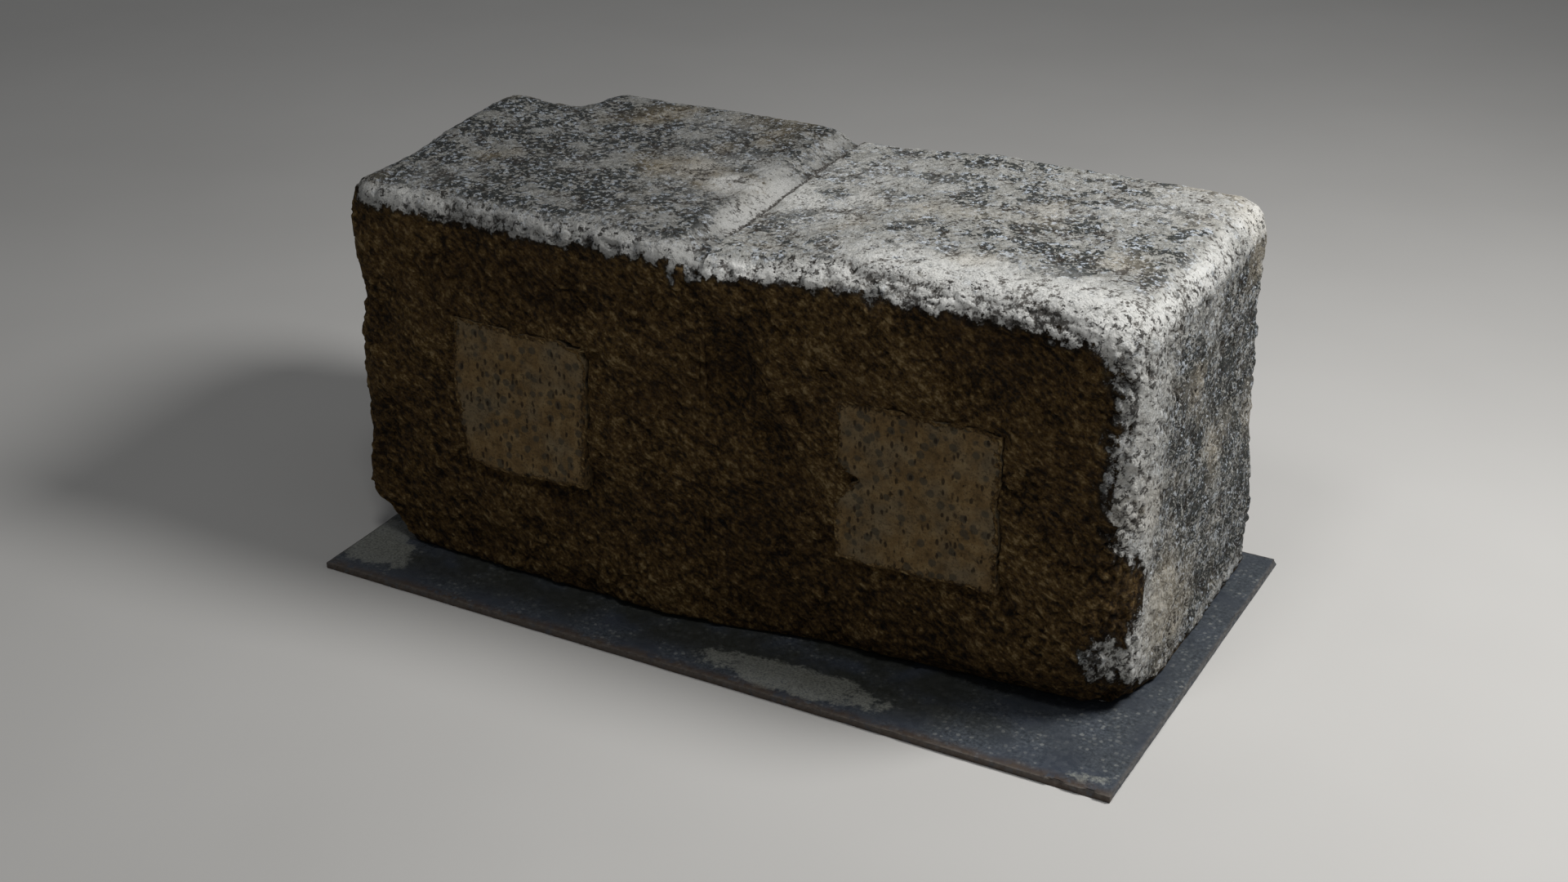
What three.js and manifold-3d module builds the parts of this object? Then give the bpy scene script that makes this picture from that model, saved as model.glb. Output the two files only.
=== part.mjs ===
// Two rough-hewn granite blocks, set end to end on a thin dark stone base slab.
// The upright joint between the blocks is filled with mortar, and each block has one square
// socket cut in its front face, filled with a mortar plug.
// Millimetres. Origin: centre of the base slab's underside. +X runs along the blocks, to the right
// as seen from the front, +Y runs from the front to the back, and +Z is up.

import * as THREE from 'three';
import { mergeVertices } from 'three/addons/utils/BufferGeometryUtils.js';
import Module from 'manifold-3d';

const wasm = await Module();
wasm.setup();

// ---------------------------------------------------------------- driving dimensions

const GAP = 0.3; // left between pieces that bear on each other

const SLAB_LENGTH = 1200;
const SLAB_DEPTH = 650;
const SLAB_THICKNESS = 10;
const SLAB_ARRIS = 1; // small bevel all round

const JOINT_X = -36; // middle of the joint, halfway through the depth
const JOINT_WIDTH = 8;
const JOINT_SKEW = -0.03; // the joint isn't quite square: sideways shift for each millimetre of depth
const POINTING = { frontY: -210, topRecess: 14 }; // nearly flush in front, sunk on top and behind

const TOP_RADIUS = 46; // weathered upper edges at the joint
const FOOT_HEIGHT = { low: 80, high: 300 }; // where the foot's radius gives way to the top's
const CORNER_WEAR = 170; // how far back the front corner's wear reaches along the ends
const END_WEAR = 0.5; // share of the front corner's extra top radius that the rest of the end keeps
const BACK_Y = 305;
const SWELL_DEPTH = 8; // hollows of the hewn faces, below the stone's envelope
const CELLS = 13; // divisions of each side of a block
const BUNCHING = 0.68; // share by which the divisions crowd towards the edges

const LEFT_STONE = {
  endX: -600,
  frontY: -226,
  topZ: SLAB_THICKNESS + 558,
  footRadius: { atJoint: 16, atCorner: 22 },
  cornerTopRadius: 50,
  bend: { depth: 9, width: 80 }, // the front turns back beside the joint
  phase: 0.4,
};
const RIGHT_STONE = {
  endX: 564,
  frontY: -197,
  topZ: SLAB_THICKNESS + 562,
  footRadius: { atJoint: 14, atCorner: 76 },
  cornerTopRadius: 66,
  bend: { depth: -17, width: 170 }, // the front turns forward beside the joint
  phase: 2.1,
};
const BEND_REACH = 200; // how far behind the front the bend fades out

// Worn tops, as heights above or below the nominal top.
const LEFT_ARRIS = { drop: 18, width: 44 }; // bevel down to the joint
const RIGHT_ARRIS = { drop: 16, width: 260 };
const LEFT_HUMP = { x: -600, y: 90, radius: 120, height: 14 };
const FALLEN_CORNER = { fromX: -430, toX: -520, fromY: 150, toY: 270, drop: 34 }; // back left

const SOCKET_DEPTH = 60;
const PLUG_ARRIS = 4; // worn edge round each plug's face
const LEFT_SOCKET = {
  centreX: -313,
  centreZ: SLAB_THICKNESS + 272,
  width: 226,
  height: 224,
  faceY: -225,
};
const RIGHT_SOCKET = {
  centreX: 271,
  centreZ: SLAB_THICKNESS + 264,
  width: 232,
  height: 232,
  faceY: -197,
};

// The lower front corner of the left block is broken away along this plane.
const BREAK_POINT = new THREE.Vector3(-566, -224, SLAB_THICKNESS + 62);
const BREAK_NORMAL = new THREE.Vector3(-1, -0.6, -0.85).normalize();

// ---------------------------------------------------------------- shape of the stones

/** 0 at from, 1 at to, a smooth ramp between, and level beyond both. */
function ramp(from, to, value) {
  const t = THREE.MathUtils.clamp((value - from) / (to - from), 0, 1);
  return t * t * (3 - 2 * t);
}

/** Height of a round hump that fades over about its radius. */
function humpHeight(hump, x, y) {
  const square = (x - hump.x) ** 2 + (y - hump.y) ** 2;
  return hump.height * Math.exp(-square / hump.radius ** 2);
}

/** Long, shallow hollows of a hewn face, from -1 to 0. */
function swell(x, y, z, phase) {
  const first = Math.sin(x / 47 + phase) * Math.sin(y / 51 + z / 43);
  const second = Math.sin(z / 38 - x / 71 + 2 * phase) * Math.cos(y / 64 - phase);
  const third = Math.sin((x + y - z) / 83 + 3 * phase);
  return (first + second + third) / 6 - 0.5;
}

/** Height of the left block's worn top above its nominal height. */
function leftTop(x, y) {
  const corner = FALLEN_CORNER;
  const fallen = corner.drop * ramp(corner.fromX, corner.toX, x) * ramp(corner.fromY, corner.toY, y);
  const bevel = LEFT_ARRIS.drop * ramp(JOINT_X - LEFT_ARRIS.width, JOINT_X, x);
  return humpHeight(LEFT_HUMP, x, y) - fallen - bevel;
}

/** Height of the right block's worn top above its nominal height. */
function rightTop(x) {
  return -RIGHT_ARRIS.drop * ramp(JOINT_X + RIGHT_ARRIS.width, JOINT_X, x);
}

/** Edge radius at a point: the top's high up and the foot's low down, largest at the front corner. */
function edgeRadius(stone, point) {
  const along = (point.x - JOINT_X) / (stone.endX - JOINT_X);
  const nearFront = ramp(stone.frontY + CORNER_WEAR, stone.frontY, point.y);
  const { atJoint, atCorner } = stone.footRadius;
  const foot = THREE.MathUtils.lerp(atJoint, atCorner, along * nearFront);
  const topWear = along * THREE.MathUtils.lerp(END_WEAR, 1, nearFront);
  const top = THREE.MathUtils.lerp(TOP_RADIUS, stone.cornerTopRadius, topWear);
  const height = ramp(SLAB_THICKNESS + FOOT_HEIGHT.low, SLAB_THICKNESS + FOOT_HEIGHT.high, point.z);
  return THREE.MathUtils.lerp(foot, top, height);
}

/** How far the front is shifted back, at a point near the joint. */
function frontBend(stone, x, y) {
  const start = JOINT_X + Math.sign(stone.endX) * stone.bend.width;
  return stone.bend.depth * ramp(start, JOINT_X, x) * ramp(stone.frontY + BEND_REACH, stone.frontY, y);
}

/** Moves a point of the stone's sharp box to its worn, hewn surface. Bed and joint face stay flat. */
function hewnPoint(stone, point, topLift) {
  const radius = edgeRadius(stone, point);
  const outerX = stone.endX - Math.sign(stone.endX) * radius;
  const inner = new THREE.Vector3(
    stone.endX < 0 ? Math.max(point.x, outerX) : Math.min(point.x, outerX),
    THREE.MathUtils.clamp(point.y, stone.frontY + radius, BACK_Y - radius),
    THREE.MathUtils.clamp(point.z, SLAB_THICKNESS + radius, stone.topZ - radius),
  );
  const outward = point.clone().sub(inner);
  const reach = Math.max(Math.abs(outward.x), Math.abs(outward.y), Math.abs(outward.z));
  if (reach > 0) {
    const onBed = point.z <= SLAB_THICKNESS;
    const hollow = onBed ? 0 : SWELL_DEPTH * swell(point.x, point.y, point.z, stone.phase);
    inner.addScaledVector(outward.normalize(), reach * (1 + hollow / radius));
  }
  const height = (inner.z - SLAB_THICKNESS) / (stone.topZ - SLAB_THICKNESS);
  inner.z = Math.max(SLAB_THICKNESS, inner.z + height * topLift(inner.x, inner.y));
  inner.y += frontBend(stone, inner.x, inner.y);
  return inner;
}

/** Shears the stones near the joint so that both follow its slight skew. */
function skew(point, endX) {
  const share = 1 - (point.x - JOINT_X) / (endX - JOINT_X);
  point.x += JOINT_SKEW * point.y * THREE.MathUtils.clamp(share, 0, 1);
}

/** Even steps from 0 to 1, crowded towards both ends, where the edges are round. */
function crowded(step) {
  return step - BUNCHING * Math.sin(2 * Math.PI * step) / (2 * Math.PI);
}

/** A closed, evenly shared mesh of one block before its socket is cut. */
function blockGeometry(stone, topLift) {
  const jointFace = JOINT_X + Math.sign(stone.endX) * JOINT_WIDTH / 2;
  const low = new THREE.Vector3(Math.min(jointFace, stone.endX), stone.frontY, SLAB_THICKNESS);
  const high = new THREE.Vector3(Math.max(jointFace, stone.endX), BACK_Y, stone.topZ);
  const size = high.clone().sub(low);
  const box = positionsOnly(new THREE.BoxGeometry(1, 1, 1, CELLS, CELLS, CELLS));
  const positions = box.getAttribute('position');
  for (let i = 0; i < positions.count; i += 1) {
    const unit = new THREE.Vector3().fromBufferAttribute(positions, i).addScalar(0.5);
    const spread = new THREE.Vector3(crowded(unit.x), crowded(unit.y), crowded(unit.z));
    const point = hewnPoint(stone, spread.multiply(size).add(low), topLift);
    skew(point, stone.endX);
    positions.setXYZ(i, point.x, point.y, point.z);
  }
  return box;
}

// ---------------------------------------------------------------- solids and cuts

/** The same surface with shared corner points and nothing but positions. */
function positionsOnly(geometry) {
  geometry.deleteAttribute('normal');
  geometry.deleteAttribute('uv');
  return mergeVertices(geometry);
}

function toSolid(geometry) {
  const vertProperties = new Float32Array(geometry.getAttribute('position').array);
  const triVerts = new Uint32Array(geometry.getIndex().array);
  return new wasm.Manifold(new wasm.Mesh({ numProp: 3, vertProperties, triVerts }));
}

function fromSolid(solid) {
  const mesh = solid.getMesh();
  const geometry = new THREE.BufferGeometry();
  geometry.setAttribute('position', new THREE.BufferAttribute(mesh.vertProperties, 3));
  geometry.setIndex(new THREE.BufferAttribute(mesh.triVerts, 1));
  return geometry;
}

/** A rectangle in X and Z, centred on the origin. */
function rectangle(width, height) {
  const shape = new THREE.Shape();
  shape.moveTo(-width / 2, -height / 2);
  shape.lineTo(width / 2, -height / 2);
  shape.lineTo(width / 2, height / 2);
  shape.lineTo(-width / 2, height / 2);
  shape.closePath();
  return shape;
}

/** The square hole that the socket takes out of the block's front face, open towards the front. */
function socketSolid(socket) {
  const reach = 60; // in front of the face, so that the cut goes right through it
  const hole = positionsOnly(new THREE.BoxGeometry(socket.width, SOCKET_DEPTH + reach, socket.height));
  hole.translate(socket.centreX, socket.faceY + (SOCKET_DEPTH - reach) / 2, socket.centreZ);
  return toSolid(hole);
}

/** Everything just outside the broken corner's plane. */
function brokenCornerSolid() {
  const size = 300;
  const up = new THREE.Vector3(0, 0, 1);
  const outside = positionsOnly(new THREE.BoxGeometry(size, size, size));
  outside.translate(0, 0, size / 2);
  outside.applyQuaternion(new THREE.Quaternion().setFromUnitVectors(up, BREAK_NORMAL));
  outside.translate(BREAK_POINT.x, BREAK_POINT.y, BREAK_POINT.z);
  return toSolid(outside);
}

/** The mortar plug: a square block with a worn arris round its face. */
function plugGeometry(socket) {
  const width = socket.width - 2 * GAP - 2 * PLUG_ARRIS;
  const height = socket.height - 2 * GAP - 2 * PLUG_ARRIS;
  const straight = SOCKET_DEPTH - GAP - PLUG_ARRIS;
  const plug = new THREE.ExtrudeGeometry(rectangle(width, height), {
    depth: straight - PLUG_ARRIS,
    bevelThickness: PLUG_ARRIS,
    bevelSize: PLUG_ARRIS,
    bevelSegments: 3,
  });
  plug.rotateX(Math.PI / 2);
  plug.translate(socket.centreX, socket.faceY + SOCKET_DEPTH - GAP - PLUG_ARRIS, socket.centreZ);
  return plug;
}

/** The joint's mortar: a thin upright sheet with the stones' rounded outline, a little smaller. */
function jointGeometry() {
  const front = POINTING.frontY;
  const back = BACK_Y - POINTING.topRecess;
  const top = RIGHT_STONE.topZ - RIGHT_ARRIS.drop - POINTING.topRecess;
  const radius = TOP_RADIUS;
  const outline = new THREE.Shape();
  outline.moveTo(front, SLAB_THICKNESS);
  outline.lineTo(back, SLAB_THICKNESS);
  outline.lineTo(back, top - radius);
  outline.absarc(back - radius, top - radius, radius, 0, Math.PI / 2);
  outline.lineTo(front + radius, top);
  outline.absarc(front + radius, top - radius, radius, Math.PI / 2, Math.PI);
  outline.closePath();
  const thickness = JOINT_WIDTH - 2 * GAP;
  const joint = new THREE.ExtrudeGeometry(outline, {
    depth: thickness,
    bevelEnabled: false,
    curveSegments: 6,
  });
  joint.translate(0, 0, -thickness / 2);
  joint.rotateX(Math.PI / 2);
  joint.rotateZ(Math.PI / 2);
  joint.translate(JOINT_X, 0, 0);
  const positions = joint.getAttribute('position');
  for (let i = 0; i < positions.count; i += 1) {
    positions.setX(i, positions.getX(i) + JOINT_SKEW * positions.getY(i));
  }
  return joint;
}

/** The base slab, lying flat, with a small bevel round its edges. */
function slabGeometry() {
  const outline = rectangle(SLAB_LENGTH - 2 * SLAB_ARRIS, SLAB_DEPTH - 2 * SLAB_ARRIS);
  const slab = new THREE.ExtrudeGeometry(outline, {
    depth: SLAB_THICKNESS - 2 * SLAB_ARRIS,
    bevelThickness: SLAB_ARRIS,
    bevelSize: SLAB_ARRIS,
    bevelSegments: 1,
  });
  slab.translate(0, 0, SLAB_ARRIS);
  return slab;
}

function leftBlockGeometry() {
  const block = toSolid(blockGeometry(LEFT_STONE, leftTop)).subtract(brokenCornerSolid());
  return fromSolid(block.subtract(socketSolid(LEFT_SOCKET)));
}

function rightBlockGeometry() {
  const block = toSolid(blockGeometry(RIGHT_STONE, rightTop));
  return fromSolid(block.subtract(socketSolid(RIGHT_SOCKET)));
}

// ---------------------------------------------------------------- materials and assembly

function stoneMaterial(color, roughness) {
  return new THREE.MeshStandardMaterial({ color, roughness, metalness: 0, flatShading: true });
}

function addPiece(parent, name, geometry, material) {
  const mesh = new THREE.Mesh(geometry, material);
  mesh.name = name;
  parent.add(mesh);
}

const group = new THREE.Group();
addPiece(group, 'base_slab', slabGeometry(), stoneMaterial(0x3d4146, 0.6));
addPiece(group, 'left_block', leftBlockGeometry(), stoneMaterial(0x9a938a, 0.92));
addPiece(group, 'right_block', rightBlockGeometry(), stoneMaterial(0xb3b2ae, 0.92));
addPiece(group, 'joint_mortar', jointGeometry(), stoneMaterial(0xb9b1a4, 0.95));
addPiece(group, 'left_socket_plug', plugGeometry(LEFT_SOCKET), stoneMaterial(0x7f6a50, 0.9));
addPiece(group, 'right_socket_plug', plugGeometry(RIGHT_SOCKET), stoneMaterial(0x7d694f, 0.9));

export default group;
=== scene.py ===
"""Two rough-hewn granite blocks on a dark stone base slab, with a mortared joint and two mortar
plugs in the front. Metres, +Z up, with x and y from the slab's middle. The pieces' places and
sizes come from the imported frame's boxes."""

import itertools
import math
from types import SimpleNamespace

import bpy
import numpy as np
from mathutils import Matrix, Vector


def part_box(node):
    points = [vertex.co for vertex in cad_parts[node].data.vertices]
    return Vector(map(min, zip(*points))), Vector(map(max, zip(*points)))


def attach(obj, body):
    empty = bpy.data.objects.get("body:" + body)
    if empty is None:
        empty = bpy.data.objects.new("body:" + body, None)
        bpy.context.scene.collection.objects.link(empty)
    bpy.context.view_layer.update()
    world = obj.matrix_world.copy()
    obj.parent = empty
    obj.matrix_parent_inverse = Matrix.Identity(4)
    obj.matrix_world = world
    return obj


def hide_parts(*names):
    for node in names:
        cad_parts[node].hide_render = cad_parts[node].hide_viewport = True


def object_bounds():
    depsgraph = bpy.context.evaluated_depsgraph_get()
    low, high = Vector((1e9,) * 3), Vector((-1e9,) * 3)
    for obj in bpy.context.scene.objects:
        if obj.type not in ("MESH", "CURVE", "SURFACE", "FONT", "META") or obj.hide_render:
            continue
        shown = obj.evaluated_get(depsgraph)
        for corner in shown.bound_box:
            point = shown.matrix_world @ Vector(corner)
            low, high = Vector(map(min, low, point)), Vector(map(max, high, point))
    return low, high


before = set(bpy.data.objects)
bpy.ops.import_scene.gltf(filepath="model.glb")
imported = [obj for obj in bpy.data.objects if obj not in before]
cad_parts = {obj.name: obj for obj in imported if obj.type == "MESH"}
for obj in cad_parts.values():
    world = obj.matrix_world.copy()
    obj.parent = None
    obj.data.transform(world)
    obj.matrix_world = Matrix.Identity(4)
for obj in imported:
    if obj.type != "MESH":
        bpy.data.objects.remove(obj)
bpy.context.view_layer.update()
cad_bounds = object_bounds()

MM = 0.001
TINY = 1e-9

# ---- places taken from the frame

slab_low, slab_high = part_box("base_slab")
left_low, left_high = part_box("left_block")
_, right_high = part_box("right_block")
mortar_low, mortar_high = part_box("joint_mortar")

BED_Z = slab_high.z
BACK_Y = left_high.y
JOINT_SKEW = -0.03  # sideways shift of the joint for each metre of depth
JOINT_X = (mortar_low.x + mortar_high.x - JOINT_SKEW * (mortar_low.y + mortar_high.y)) / 2
JOINT_WIDTH = 8 * MM
TOP_RADIUS = 46 * MM
END_WEAR = 0.5  # share of the front corner's extra top radius that the rest of the end keeps
FOOT_BLEND = (80 * MM, 300 * MM)  # heights between which the foot's radius becomes the top's
CORNER_WEAR = 170 * MM  # how far back from the front the outer corners are worn
SWELL_DEPTH = 8 * MM
SWELL_RISE = 30 * MM  # height above the slab by which the swells reach their full depth
SHARED_SWELL = (120 * MM, 10 * MM)  # distances from the joint between which the stones' swells meet
BEND_REACH = 200 * MM  # how far back the front's bend beside the joint is felt
FOOT_SHARE = 0.985  # how much of a quarter round the foot and the joint's arrises turn through
LEAST_REACH = 0.08  # share of a rounded edge's reach that wear always leaves

LEFT = SimpleNamespace(
    side=-1,
    joint_side="x+",
    end=left_low.x,
    front=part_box("left_socket_plug")[0].y,
    top=left_high.z - 9.6 * MM,  # level part of the top
    foot_at_joint=16 * MM,
    foot_at_corner=22 * MM,
    top_at_corner=50 * MM,
    joint_arris=(4 * MM, 0.3 * MM),  # radius along the top, and down the front
    bevel=(18 * MM, 44 * MM),  # drop and width of the worn top beside the joint
    bend=(10 * MM, 80 * MM),  # how far the front turns back or forward beside the joint
    phase=0.4,
    rim_white=0.65,
    smear_white=1.1,
)
RIGHT = SimpleNamespace(
    side=1,
    joint_side="x-",
    end=right_high.x,
    front=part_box("right_socket_plug")[0].y,
    top=right_high.z + 1.5 * MM,
    foot_at_joint=14 * MM,
    foot_at_corner=76 * MM,
    top_at_corner=66 * MM,
    joint_arris=(3 * MM, 0.3 * MM),
    bevel=(16 * MM, 260 * MM),
    bend=(-18 * MM, 170 * MM),
    phase=2.1,
    rim_white=1,
    smear_white=0.7,
)
for stone in (LEFT, RIGHT):
    stone.joint_face = JOINT_X + stone.side * JOINT_WIDTH / 2

LINE_Y = (-130 * MM, -90 * MM)  # the open joint fades out between these, behind the worn rim
SEED = 11  # shared, so that the hewn front runs on across the joint
STONE_CELL = 3.6 * MM
REACH_Y = 250 * MM  # depth behind the front over which the cells keep their finest size
DEEP_CELL = 5.5 * MM
SLAB_CELL = 5 * MM
PLUG_CELL = 2.4 * MM
BORDER = 12  # rows of cells round the flat joint face


# ---- small numeric helpers


def ramp(start, end, value):
    """0 at start, 1 at end, smooth between and level beyond."""
    t = np.clip((value - start) / (end - start), 0, 1)
    return t * t * (3 - 2 * t)


def lerp(a, b, t):
    return a + (b - a) * t


def bell(*scaled):
    """1 where every scaled distance is 0, fading over a distance of 1."""
    return np.exp(-sum(s * s for s in scaled))


def unit(vectors):
    return vectors / np.maximum(np.linalg.norm(vectors, axis=1), TINY)[:, None]


def graded(length, cell, first):
    """Distances from 0 to length: steps that grow from first up to cell, then even steps."""
    steps = [first]
    while steps[-1] + 2 * first < cell:
        steps.append(steps[-1] + 2 * first)
    start = np.concatenate([[0.0], np.cumsum(steps)])
    count = max(1, round((length - start[-1]) / cell))
    return np.concatenate([start, np.linspace(start[-1], length, count + 1)[1:]])


def vertex_normals(points, quads):
    a, b, c, d = (points[quads[:, k]] for k in range(4))
    face = np.cross(c - a, d - b)
    total = np.zeros_like(points)
    for k, axis in itertools.product(range(4), range(3)):
        total[:, axis] += np.bincount(quads[:, k], face[:, axis], len(points))
    return unit(total)


# ---- repeatable noise

WORD = 0xFFFFFFFF


def cell_words(cell, seed):
    """A repeatable 32-bit number for each whole-number cell."""
    x, y, z = cell.astype(np.int64).T
    word = (x * 73856093) ^ (y * 19349663) ^ (z * 83492791) ^ (seed * 2654435761)
    word = ((word & WORD) ^ ((word & WORD) >> 15)) * 2246822519 & WORD
    word = (word ^ (word >> 13)) * 3266489917 & WORD
    return word ^ (word >> 16)


def cell_vectors(cell, seed):
    """Three repeatable numbers from 0 to 1 for each cell."""
    word = cell_words(cell, seed)
    parts = [(word >> shift & 1023) / 1023 for shift in (0, 10, 20)]
    return np.stack(parts, axis=1)


def smooth_noise(points, size, seed):
    """Gradient noise from about -1 to 1, with features of the given size."""
    scaled = points / size
    base = np.floor(scaled)
    inside = scaled - base
    fade = inside**3 * (inside * (inside * 6 - 15) + 10)
    total = np.zeros(len(points))
    for corner in itertools.product((0, 1), repeat=3):
        corner = np.array(corner)
        gradient = cell_vectors(base + corner, seed) * 2 - 1
        weight = np.prod(np.where(corner, fade, 1 - fade), axis=1)
        total += weight * ((inside - corner) * gradient).sum(axis=1)
    return 1.7 * total


def fractal(points, size, seed, octaves=3):
    """Several layers of smooth noise, each half the size and half the height of the last."""
    total = sum(
        0.5**k * smooth_noise(points, size * 0.5**k, seed + 7 * k) for k in range(octaves)
    )
    return total / (2 - 0.5 ** (octaves - 1))


def cells(points, size, seed):
    """For scattered cells: how near the centre is, 1 to 0, how near an edge, 0 to 1, and a number."""
    scaled = points / size
    base = np.floor(scaled)
    nearest = np.full(len(points), 9.0)
    second = np.full(len(points), 9.0)
    number = np.zeros(len(points))
    for offset in itertools.product((-1, 0, 1), repeat=3):
        cell = base + np.array(offset)
        spot = cell_vectors(cell, seed)
        distance = np.linalg.norm(scaled - cell - spot, axis=1)
        closer = distance < nearest
        second = np.where(closer, nearest, np.minimum(second, distance))
        number = np.where(closer, spot[:, 0], number)
        nearest = np.minimum(nearest, distance)
    return np.clip(1 - nearest, 0, 1), second - nearest, number


# ---- divided boxes

SIDES = {"x-": (0, 0), "x+": (0, -1), "y-": (1, 0), "y+": (1, -1), "z-": (2, 0), "z+": (2, -1)}
TURNED = ("x-", "y+", "z-")  # sides whose rows and columns run the other way round


def box_shell(xs, ys, zs, flat):
    """The surface of a box divided at xs, ys and zs. flat names sides that are a single face inside
    a border of so many rows of cells. Returns points, quads, the borders' quads, the single faces,
    and which points are on each side."""
    counts = (len(xs), len(ys), len(zs))
    numbers = np.arange(math.prod(counts)).reshape(counts)
    quads, borders, singles = [], [], []
    for name, (axis, end) in SIDES.items():
        sheet = numbers.take(end, axis=axis)
        corners = (sheet[:-1, :-1], sheet[1:, :-1], sheet[1:, 1:], sheet[:-1, 1:])
        found = np.stack(corners, axis=-1)
        if name in TURNED:
            found = found[..., ::-1]
        if name not in flat:
            quads.append(found.reshape(-1, 4))
            continue
        rows = flat[name]
        kept = np.ones(found.shape[:2], bool)
        kept[rows : found.shape[0] - rows, rows : found.shape[1] - rows] = False
        borders.append(found[kept].reshape(-1, 4))
        core = sheet[rows : sheet.shape[0] - rows, rows : sheet.shape[1] - rows]
        loop = np.concatenate([core[:-1, 0], core[-1, :-1], core[:0:-1, -1], core[0, :0:-1]])
        singles.append(loop[::-1] if name in TURNED else loop)
    quads, borders = np.concatenate(quads), np.concatenate(borders)
    used = np.unique(np.concatenate([quads.ravel(), borders.ravel(), *singles]))
    renumber = np.zeros(numbers.size, np.int64)
    renumber[used] = np.arange(len(used))
    i, j, k = np.unravel_index(used, counts)
    points = np.stack([xs[i], ys[j], zs[k]], axis=1)
    on_side = {
        name: (i, j, k)[axis] == (0 if end == 0 else counts[axis] - 1)
        for name, (axis, end) in SIDES.items()
    }
    return SimpleNamespace(
        points=points,
        quads=renumber[quads],
        borders=renumber[borders],
        singles=[renumber[loop] for loop in singles],
        on=on_side,
    )


def add_object(name, data):
    made = bpy.data.objects.new(name, data)
    bpy.context.scene.collection.objects.link(made)
    return made


def make_piece(name, shell, points, node, material, shades, crease=62):
    """A mesh object that rides on the frame and stands for a CAD node. shades are numbers per point."""
    mesh = bpy.data.meshes.new(name)
    faces = shell.quads.tolist() + shell.borders.tolist() + [f.tolist() for f in shell.singles]
    mesh.from_pydata(points.tolist(), [], faces)
    mesh.polygons.foreach_set("use_smooth", [True] * len(faces))
    mesh.set_sharp_from_angle(angle=math.radians(crease))
    for key, values in shades.items():
        layer = mesh.attributes.new(key, "FLOAT", "POINT")
        layer.data.foreach_set("value", np.clip(values, 0, 1).astype(np.float32))
    mesh.materials.append(material)
    piece = add_object(name, mesh)
    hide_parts(node)
    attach(piece, "root")


# ---- the hewn stones


def swell(points, phase):
    """Long, shallow hollows of a hewn face, from -1 to 0."""
    x, y, z = (points / MM).T
    first = np.sin(x / 47 + phase) * np.sin(y / 51 + z / 43)
    second = np.sin(z / 38 - x / 71 + 2 * phase) * np.cos(y / 64 - phase)
    third = np.sin((x + y - z) / 83 + 3 * phase)
    return (first + second + third) / 6 - 0.5


# The raised part of the left end's top, and the end's fallen back corner.
CROWN = SimpleNamespace(y=90 * MM, reach=120 * MM, rise=14 * MM)
FALL = SimpleNamespace(x=(-430 * MM, -520 * MM), y=(150 * MM, 270 * MM), drop=34 * MM)


def top_lift(stone, x, y):
    """Height of the worn top above its level part: low beside the joint, raised at the left end,
    and fallen at that end's back corner."""
    drop, width = stone.bevel
    lift = -drop * ramp(stone.joint_face + stone.side * width, stone.joint_face, x)
    if stone is LEFT:
        lift += CROWN.rise * bell((x - stone.end) / CROWN.reach, (y - CROWN.y) / CROWN.reach)
        lift -= FALL.drop * ramp(*FALL.x, x) * ramp(*FALL.y, y)
    return lift


def edge_radius(stone, points):
    x, y, z = points.T
    along = (x - JOINT_X) / (stone.end - JOINT_X)
    near_front = ramp(stone.front + CORNER_WEAR, stone.front, y)
    foot = lerp(stone.foot_at_joint, stone.foot_at_corner, along * near_front)
    top = lerp(TOP_RADIUS, stone.top_at_corner, along * lerp(END_WEAR, 1, near_front))
    return lerp(foot, top, ramp(BED_Z + FOOT_BLEND[0], BED_Z + FOOT_BLEND[1], z))


def quarter_inset(radius, distance):
    """How far a rounded edge stays behind its faces, at a distance from the edge."""
    turn = np.clip((radius - distance) / radius, 0, FOOT_SHARE)
    return radius * (1 - np.sqrt(1 - turn * turn))


def joint_arris(stone, y, direction):
    """Radius of the edge along the joint: worn where the line is open, almost sharp in front."""
    along_top, down_front = stone.joint_arris
    closed = np.maximum(ramp(0, 0.5, -direction[:, 1]), ramp(LINE_Y[1], LINE_Y[0], y))
    return lerp(along_top, down_front, closed)


def swell_depth(stone, points):
    """How far a face swells, negative inwards. Beside the joint the two stones swell alike."""
    shared = (swell(points, LEFT.phase) + swell(points, RIGHT.phase)) / 2
    near_joint = ramp(*SHARED_SWELL, np.abs(points[:, 0] - stone.joint_face))
    depth = SWELL_DEPTH * lerp(swell(points, stone.phase), shared, near_joint)
    return depth * ramp(BED_Z, BED_Z + SWELL_RISE, points[:, 2])


def worn_shape(stone, points):
    """Rounds the sharp box's edges and swells its faces. Returns the points, the outward direction,
    and how far out each point started, 1 on the box's faces."""
    x, y, z = points.T
    radius = edge_radius(stone, points)
    end = stone.end - stone.side * radius
    inner = np.stack(
        [
            np.maximum(x, end) if stone.side < 0 else np.minimum(x, end),
            np.clip(y, stone.front + radius, BACK_Y - radius),
            np.minimum(z, stone.top - radius),
        ],
        axis=1,
    )
    outward = points - inner
    reach = np.abs(outward).max(axis=1)
    direction = unit(outward)
    arris = joint_arris(stone, y, direction)
    inset = quarter_inset(radius, z - BED_Z) + quarter_inset(arris, np.abs(x - stone.joint_face))
    grown = 1 + (swell_depth(stone, points) - inset) / radius
    offset = reach * np.maximum(grown, LEAST_REACH)
    worn = inner + direction * offset[:, None]
    height = (worn[:, 2] - BED_Z) / (stone.top - BED_Z)
    worn[:, 2] += height * top_lift(stone, worn[:, 0], worn[:, 1])
    depth, width = stone.bend
    turned = ramp(stone.joint_face + stone.side * width, stone.joint_face, worn[:, 0])
    worn[:, 1] += depth * turned * ramp(stone.front + BEND_REACH, stone.front, worn[:, 1])
    return worn, direction, reach / radius


BREAK_FACING = (-1, -0.6, -0.85)
BREAK_AT = (LEFT.end + 32 * MM, LEFT.front, BED_Z + 64 * MM)  # a point that the break passes through


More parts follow.
